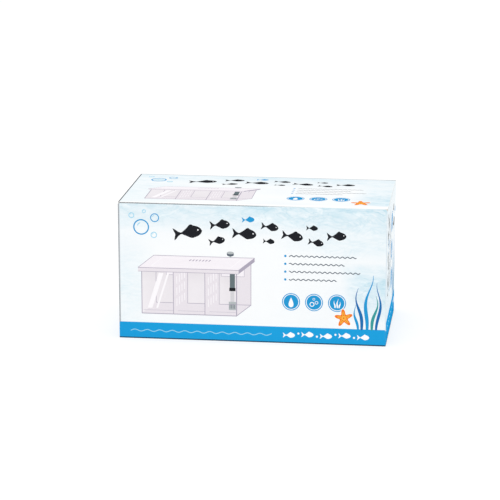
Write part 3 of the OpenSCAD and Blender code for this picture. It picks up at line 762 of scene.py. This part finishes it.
def carton_shell():
    b = Build()
    tops = {"front": H - 0.1, "right": H - 2 * T - 0.2, "rear": H - T - 0.1, "left": H - 2 * T - 0.2}
    walls = [("front", (-W, -D), (1, 0), 2 * W, front_art), ("right", (W, -D), (0, 1), 2 * D, lambda p, w, h: side_art(p, w, h, False)),
             ("rear", (W, D), (-1, 0), 2 * W, rear_art), ("left", (-W, D), (0, -1), 2 * D, lambda p, w, h: side_art(p, w, h, True))]
    chart = {"front": (2, 2), "right": (282, 2), "rear": (2, 150), "left": (282, 150)}
    for k, (name, o, u, w, art) in enumerate(walls):
        top = tops[name]
        nrm = (u[1], -u[0])
        at = lambda a, z, d=0.0: (o[0] + u[0] * a - nrm[0] * d, o[1] + u[1] * a - nrm[1] * d, z)
        cu, cv = chart[name]
        near = [z for z in SIDES if z < top] + [top]
        left = near
        right = near
        outline = [(RC, 0.0), (w - RC, 0.0)] + [(w - RC, z) for z in right[1:]] + [(RC, z) for z in reversed(left[1:])]
        V, F, names = printed(outline, art, w, top, "water" if k % 2 == 0 else "water_side")
        for t, c in zip(F, names):
            P = V[t]
            b.face([at(x, y) for x, y in P], c, [(cu + x, cv + y) for x, y in P])
        low = edge_points(V, F, 1, 0.0)
        up = edge_points(V, F, 1, top)
        lz, rz = edge_points(V, F, 0, RC), edge_points(V, F, 0, w - RC)
        # inner face, lower rim and upper rim of this wall
        iu, iv = (2 + (k % 2) * 142 * 1.0 + (0 if k < 2 else 215), 300)
        b.face([at(T, 0, T), at(T, top, T), at(w - T, top, T), at(w - T, 0, T)], "inside",
               [(iu, iv), (iu, iv + 70), (iu + w / 2, iv + 70), (iu + w / 2, iv)] if k % 2 == 0 else
               [(iu, iv), (iu, iv + 70), (iu + 70, iv + 70), (iu + 70, iv)])
        y = 376 + k * 4
        b.face([at(x, 0) for x in reversed(low)] + [at(T, 0, T), at(w - T, 0, T)], "edge",
               [(2 + x, y) for x in reversed(low)] + [(2 + T, y + 1), (2 + w - T, y + 1)])
        b.face([at(x, top) for x in up] + [at(w - T, top, T), at(T, top, T)], "edge",
               [(2 + x, y + 2) for x in up] + [(2 + w - T, y + 3), (2 + T, y + 3)])
        # rounded fold to the next wall
        nxt = walls[(k + 1) % 4]
        ntop = tops[nxt[0]]
        n2 = (nxt[2][1], -nxt[2][0])
        cx, cy = nxt[1][0] - u[0] * RC - n2[0] * 0 + nxt[2][0] * RC, nxt[1][1] - u[1] * RC + nxt[2][1] * RC
        m = 5
        arc = []
        for i in range(m + 1):
            a = math.pi / 2 * i / m
            arc.append((cx + RC * (nrm[0] * math.cos(a) + n2[0] * math.sin(a)), cy + RC * (nrm[1] * math.cos(a) + n2[1] * math.sin(a))))
        zs = [z for z in rz if z <= min(top, ntop) + 1e-6]
        hi = max(top, ntop)
        lo = min(top, ntop)
        if lo not in zs:
            zs.append(lo)
        # the upright folds carry a painted fold shade line, greyer on the front-left fold
        col = "fold_shade_left" if k == 3 else "crease"
        for i in range(m):
            for z0, z1 in zip(zs, zs[1:]):
                s0 = 376 + k * 7 + i
                b.face([(*arc[i], z0), (*arc[i + 1], z0), (*arc[i + 1], z1), (*arc[i], z1)], col,
                       [(290 + z0, s0), (290 + z0, s0 + 1), (290 + z1, s0 + 1), (290 + z1, s0)])
        inner = at(w - T, 0, T)[:2]
        yy = 396 + k * 3
        b.face([(*inner, 0.0)] + [(*p, 0.0) for p in reversed(arc)], "edge", [(4, yy)] + [(6 + i, yy + 1) for i in range(m + 1)])
        b.face([(*inner, lo)] + [(*p, lo) for p in arc], "edge", [(24, yy)] + [(26 + i, yy + 1) for i in range(m + 1)])
        if top > ntop + 1e-6:          # this wall stands higher: close its end above the fold
            b.face([at(w - RC, ntop), at(w - RC, top), at(w - T, top, T), at(w - T, ntop, T)], "edge", [(44, yy), (45, yy), (45, yy + 1), (44, yy + 1)])
        elif ntop > top + 1e-6:
            o2, u2 = nxt[1], nxt[2]
            at2 = lambda a, z, d=0.0: (o2[0] + u2[0] * a - n2[0] * d, o2[1] + u2[1] * a - n2[1] * d, z)
            b.face([at2(RC, top), at2(T, top, T), at2(T, ntop, T), at2(RC, ntop)], "edge", [(48, yy), (49, yy), (49, yy + 1), (48, yy + 1)])
    ob = b.make("carton_walls", "carton", "carton_shell")
    return ob


def carton_lid():
    """Top panel, front fold and tongue as one bent sheet."""
    b = Build()
    r = 1.3                                       # outer radius of the front fold
    yF = -D + T + 0.1                             # front edge of the lid
    y0, y1 = yF + r, D                            # flat part
    x1 = W
    place = lambda x, y: (x - W, y + y0)
    h = y1 - y0
    c = 1.2
    outline = [(c, 0.0), (2 * W - c, 0.0), (2 * W, c), (2 * W, h - 0.5), (2 * W - 0.5, h), (0.5, h), (0.0, h - 0.5), (0.0, c)]
    V, F, names = printed(outline, top_art, 2 * W, h, "water_top")
    for t, col in zip(F, names):
        P = V[t]
        b.face([(*place(x, y), H) for x, y in P], col, [(2 + x, 2 + y) for x, y in P])
    low = edge_points(V, F, 1, 0.0)
    # underside
    b.face([(*place(x, 0), H - T) for x in reversed(low)] + [(*place(x, y), H - T) for x, y in reversed(outline[2:])][::1], "inside",
           [(2 + x * 0.5, 150) for x in reversed(low)] + [(2 + x * 0.5, 150 + y * 0.5) for x, y in reversed(outline[2:])])
    # raw edges of the flat part, except at the front fold
    loop = [(low[-1], 0.0)] + outline[2:] + [(low[0], 0.0)]
    for i, (p, q) in enumerate(zip(loop, loop[1:])):
        n = [x for x in edge_points(V, F, 1, h) if min(p[0], q[0]) - 1e-6 <= x <= max(p[0], q[0]) + 1e-6] if abs(p[1] - h) < 1e-6 and abs(q[1] - h) < 1e-6 else None
        pts = [p, q]
        if n and len(n) > 2:
            pts = [(x, h) for x in sorted(n, reverse=p[0] > q[0])]
        else:
            for ax, val in ((0, 0.0), (0, 2 * W)):
                if abs(p[0] - val) < 1e-6 and abs(q[0] - val) < 1e-6:
                    ys = [y for y in edge_points(V, F, 0, val) if min(p[1], q[1]) - 1e-6 <= y <= max(p[1], q[1]) + 1e-6]
                    pts = [(val, y) for y in sorted(ys, reverse=p[1] > q[1])]
        # the rear hinge edge takes the rear crease colour, a painted fold shade
        b.face([(*place(*a), H) for a in reversed(pts)] + [(*place(*p), H - T), (*place(*q), H - T)], "fold" if min(p[1], q[1]) > h - 0.6 else "edge",
               [(2 + 4 * i + a / 100.0, 230 + j * 0.1) for j, (a, _) in enumerate(reversed(pts))] + [(2 + 4 * i, 229), (3 + 4 * i, 229)])
    # front fold and tongue: rows down the sheet, outer and inner
    lean = math.radians(5.5)
    rows = []
    m = 6
    for i in range(m + 1):
        a = (math.pi / 2 - lean) * i / m
        rows.append(((y0 - r * math.sin(a), H - r + r * math.cos(a)), (y0 - (r - T) * math.sin(a), H - r + (r - T) * math.cos(a))))
    (yo, zo), (yi, zi) = rows[-1]
    dn = (math.sin(lean), -math.cos(lean))
    L = 18.4
    R = 9.0
    for s in [1.2, 3, 5, 7] + [L - R + R * math.sin(math.radians(a)) for a in (0, 18, 36, 54, 68, 80, 90)]:
        rows.append(((yo + dn[0] * s, zo + dn[1] * s), (yi + dn[0] * s, zi + dn[1] * s)))
    def half(i):
        s = 0 if i <= m else [1.2, 3, 5, 7][i - m - 1] if i - m - 1 < 4 else None
        if i == 0:
            return W - c
        if i <= m:
            return W - c - (3.8 * i / m)
        if s is not None:
            return W - 5.0 - 0.08 * s
        a = (0, 18, 36, 54, 68, 80, 90)[i - m - 5]
        return W - 5.8 - R + R * math.cos(math.radians(a))
    fr = [(x - W) / (W - c) for x in low]          # share the flat part's own points across the fold
    for i in range(len(rows) - 1):
        (a0, b0), (a1, b1) = rows[i], rows[i + 1]
        h0, h1 = half(i), half(i + 1)
        # the front fold's outer face carries a painted shade line under the lid's edge, darkest at the left
        col = "fold_shade_lid" if i < m else "water"
        for f0, f1 in zip(fr, fr[1:]):
            for (p0, p1, c2, flip) in ((a0, a1, col, False), (b0, b1, "inside", True)):
                q = [(f0 * h0, *p0), (f0 * h1, *p1), (f1 * h1, *p1), (f1 * h0, *p0)]
                uv = [(2 + W + f0 * h0, 244 + i + (30 if flip else 0)), (2 + W + f0 * h1, 245 + i + (30 if flip else 0)), (2 + W + f1 * h1, 245 + i + (30 if flip else 0)), (2 + W + f1 * h0, 244 + i + (30 if flip else 0))]
                if flip:
                    q.reverse()
                    uv.reverse()
                b.face(q, c2, uv)
        for s in (-1, 1):
            q = [(s * h0, *a0), (s * h0, *b0), (s * h1, *b1), (s * h1, *a1)]
            uv = [(300 + i, 244 + 4 * (s > 0)), (300 + i, 245 + 4 * (s > 0)), (301 + i, 245 + 4 * (s > 0)), (301 + i, 244 + 4 * (s > 0))]
            if s > 0:
                q.reverse()
                uv.reverse()
            b.face(q, "edge", uv)
    (a1, b1), hl = rows[-1], half(len(rows) - 1)
    for f0, f1 in zip(fr, fr[1:]):
        b.face([(f0 * hl, *a1), (f0 * hl, *b1), (f1 * hl, *b1), (f1 * hl, *a1)], "edge",
               [(2 + W + f0 * hl, 300), (2 + W + f0 * hl, 301), (2 + W + f1 * hl, 301), (2 + W + f1 * hl, 300)])
    return b.make("carton_top", "lid", "carton_lid", span=320.0)


carton_shell()
carton_lid()


# --------------------------------------------------------- product finishes
def clear(name, tint, haze_colour, edge_colour, amount, rough=0.04):
    """Clear moulded plastic: sees through head-on, hazes with a lilac tint towards grazing angles and along its edges."""
    n = Nodes(name)
    p = n.coords()
    face = n.new("ShaderNodeLayerWeight", Blend=0.5).outputs["Facing"]
    see = n.new("ShaderNodeBsdfTransparent")
    see.inputs[0].default_value = tint
    # edges: where the rounded normal leaves the face's own
    bevel = n.nt.nodes.new("ShaderNodeBevel")
    bevel.samples = 4
    bevel.inputs["Radius"].default_value = 0.0011
    geo = n.nt.nodes.new("ShaderNodeNewGeometry")
    dot = n.nt.nodes.new("ShaderNodeVectorMath")
    dot.operation = "DOT_PRODUCT"
    n.link(bevel.outputs[0], dot.inputs[0])
    n.link(geo.outputs["Normal"], dot.inputs[1])
    rim = n.ramp(dot.outputs["Value"], [(0.72, 1.0), (0.985, 0.0)])
    haze = n.principled(n.mix(rim, haze_colour, edge_colour), 0.35, None, Specular_IOR_Level=0.3)
    gloss = n.new("ShaderNodeBsdfGlossy")
    gloss.inputs["Color"].default_value = (1, 1, 1, 1)
    n.link(n.ramp(n.noise(p, 60.0, 3.0), [(0.35, rough), (0.75, rough + 0.06)]), gloss.inputs["Roughness"])
    n.link(n.bump(n.noise(p, 38.0, 2.0), 0.12, 0.0006), gloss.inputs["Normal"])
    body = n.nt.nodes.new("ShaderNodeMixShader")
    turned = n.math("ADD", n.math("MULTIPLY", n.math("POWER", face, 3.0), 0.45), amount, True)
    turned = n.math("MAXIMUM", turned, n.math("MULTIPLY", rim, 0.78))
    # after many layers the haze of all of them closes up
    path = n.new("ShaderNodeLightPath")
    deep = n.math("GREATER_THAN", path.outputs["Transparent Depth"], 5.5)
    n.link(n.math("MAXIMUM", turned, deep), body.inputs[0])
    n.link(see.outputs[0], body.inputs[1])
    n.link(haze.outputs[0], body.inputs[2])
    top = n.nt.nodes.new("ShaderNodeMixShader")
    n.link(n.math("ADD", n.math("MULTIPLY", n.math("POWER", face, 5.0), 0.85), 0.04, True), top.inputs[0])
    n.link(body.outputs[0], top.inputs[1])
    n.link(gloss.outputs[0], top.inputs[2])
    return n.surface(top)


def moulded(name, rgb, rough=0.42, grain=900.0, spread=0.1, strength=0.25, **kw):
    n = Nodes(name)
    p = n.coords()
    g = n.noise(p, grain, 4.0, 0.6)
    soft = n.noise(p, 55.0, 3.0)
    base = n.mix(n.ramp(soft, [(0.3, 0.0), (0.7, 1.0)]), srgb(*[int(c * (1 - spread)) for c in rgb]), srgb(*[min(255, int(c * (1 + spread))) for c in rgb]))
    r = n.ramp(n.noise(p, 130.0, 3.0), [(0.3, rough - 0.06), (0.7, rough + 0.08)])
    return n.surface(n.principled(base, r, n.bump(g, strength, 0.00006), **kw))


CLEAR = clear("clear_plastic", (0.972, 0.966, 0.980, 1), srgb(224, 216, 226), srgb(112, 103, 134), 0.085)
CLEAR2 = clear("clear_plastic_cover", (0.968, 0.962, 0.978, 1), srgb(228, 220, 230), srgb(122, 113, 143), 0.115)
GREY = moulded("grey_plastic", (118, 124, 128))
LIGHT = moulded("light_grey_plastic", (168, 172, 176))
DARK = moulded("dark_grey_plastic", (62, 74, 76), 0.3)
BLACK = moulded("black_plastic", (30, 34, 36), 0.45)
PAD = moulded("soft_pad", (46, 46, 48), 0.8, 700.0, 0.15, 0.5)
FLAP_UP = flap("board_flap_top", (236, 234, 228), 12, True)
FLAP_DOWN = flap("board_flap_bottom", (236, 234, 228), 12, False)
FINISH = {
    "tank": CLEAR, "inlet_trough": CLEAR, "outlet_trough": CLEAR, "tank_cover": CLEAR2, "divider_left": CLEAR2,
    "divider_right": CLEAR2, "lift_tube_lower": CLEAR2, "lift_elbow": GREY, "lift_tube_upper": DARK, "tube_collar": BLACK,
    "outlet_grille": LIGHT, "flow_knob": GREY, "valve_disc": LIGHT, "strainer": GREY, "air_nipple": LIGHT,
    "level_screw_left": GREY, "level_screw_right": GREY, "level_pad_left": PAD, "level_pad_right": PAD,
    "bottom_panel": FLAP_DOWN, "bottom_dust_flap_left": FLAP_DOWN, "bottom_dust_flap_right": FLAP_DOWN,
    "dust_flap_left": FLAP_UP, "dust_flap_right": FLAP_UP,
}
for node, m in FINISH.items():
    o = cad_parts[node]
    o.data.materials.clear()
    o.data.materials.append(m)
    o.visible_shadow = m not in (CLEAR, CLEAR2)       # light passes clear plastic


# -------------------------------------------------------- floor and light
def stage():
    """A wide plain floor."""
    me = bpy.data.meshes.new("floor")
    rings = [0.5, 1.2, 3.0, 8.0, 24.0]
    vs = [(0.0, 0.0, 0.0)] + [(r * math.cos(math.radians(7.5 * i)), r * math.sin(math.radians(7.5 * i)), 0.0) for r in rings for i in range(48)]
    fs = [(0, 1 + i, 1 + (i + 1) % 48) for i in range(48)]
    for k in range(len(rings) - 1):
        a, b = 1 + 48 * k, 1 + 48 * (k + 1)
        fs += [(a + i, b + i, b + (i + 1) % 48, a + (i + 1) % 48) for i in range(48)]
    me.from_pydata(vs, [], fs)
    n = Nodes("floor")
    c = n.mix(n.noise(n.coords(), 3.0, 2.0), (0.32, 0.32, 0.32, 1), (0.34, 0.34, 0.34, 1))
    me.materials.append(n.surface(n.principled(c, 0.8, Specular_IOR_Level=0.0, Emission_Strength=0.7)))
    ob = bpy.data.objects.new("floor", me)
    scene.collection.objects.link(ob)


stage()


def area(name, loc, target, size, power, colour=(1, 1, 1), size_y=None):
    d = bpy.data.lights.new(name, "AREA")
    d.energy = power
    d.color = colour
    d.shape = "RECTANGLE"
    d.size, d.size_y = size, size_y or size
    o = bpy.data.objects.new(name, d)
    scene.collection.objects.link(o)
    o.location = loc
    o.rotation_euler = (Vector(target) - Vector(loc)).to_track_quat("-Z", "Y").to_euler()


area("key", (-0.9, -1.5, 1.5), (0, 0, 0.07), 1.0, 2.4)
area("fill", (1.5, -0.9, 0.9), (0, 0, 0.07), 1.2, 1.3)
area("over", (0.0, 0.3, 1.7), (0, 0, 0.05), 1.4, 1.3)
world = bpy.data.worlds.new("world")
world.use_nodes = True
world.node_tree.nodes["Background"].inputs[0].default_value = (1, 1, 1, 1)
world.node_tree.nodes["Background"].inputs[1].default_value = 1.01
scene.world = world
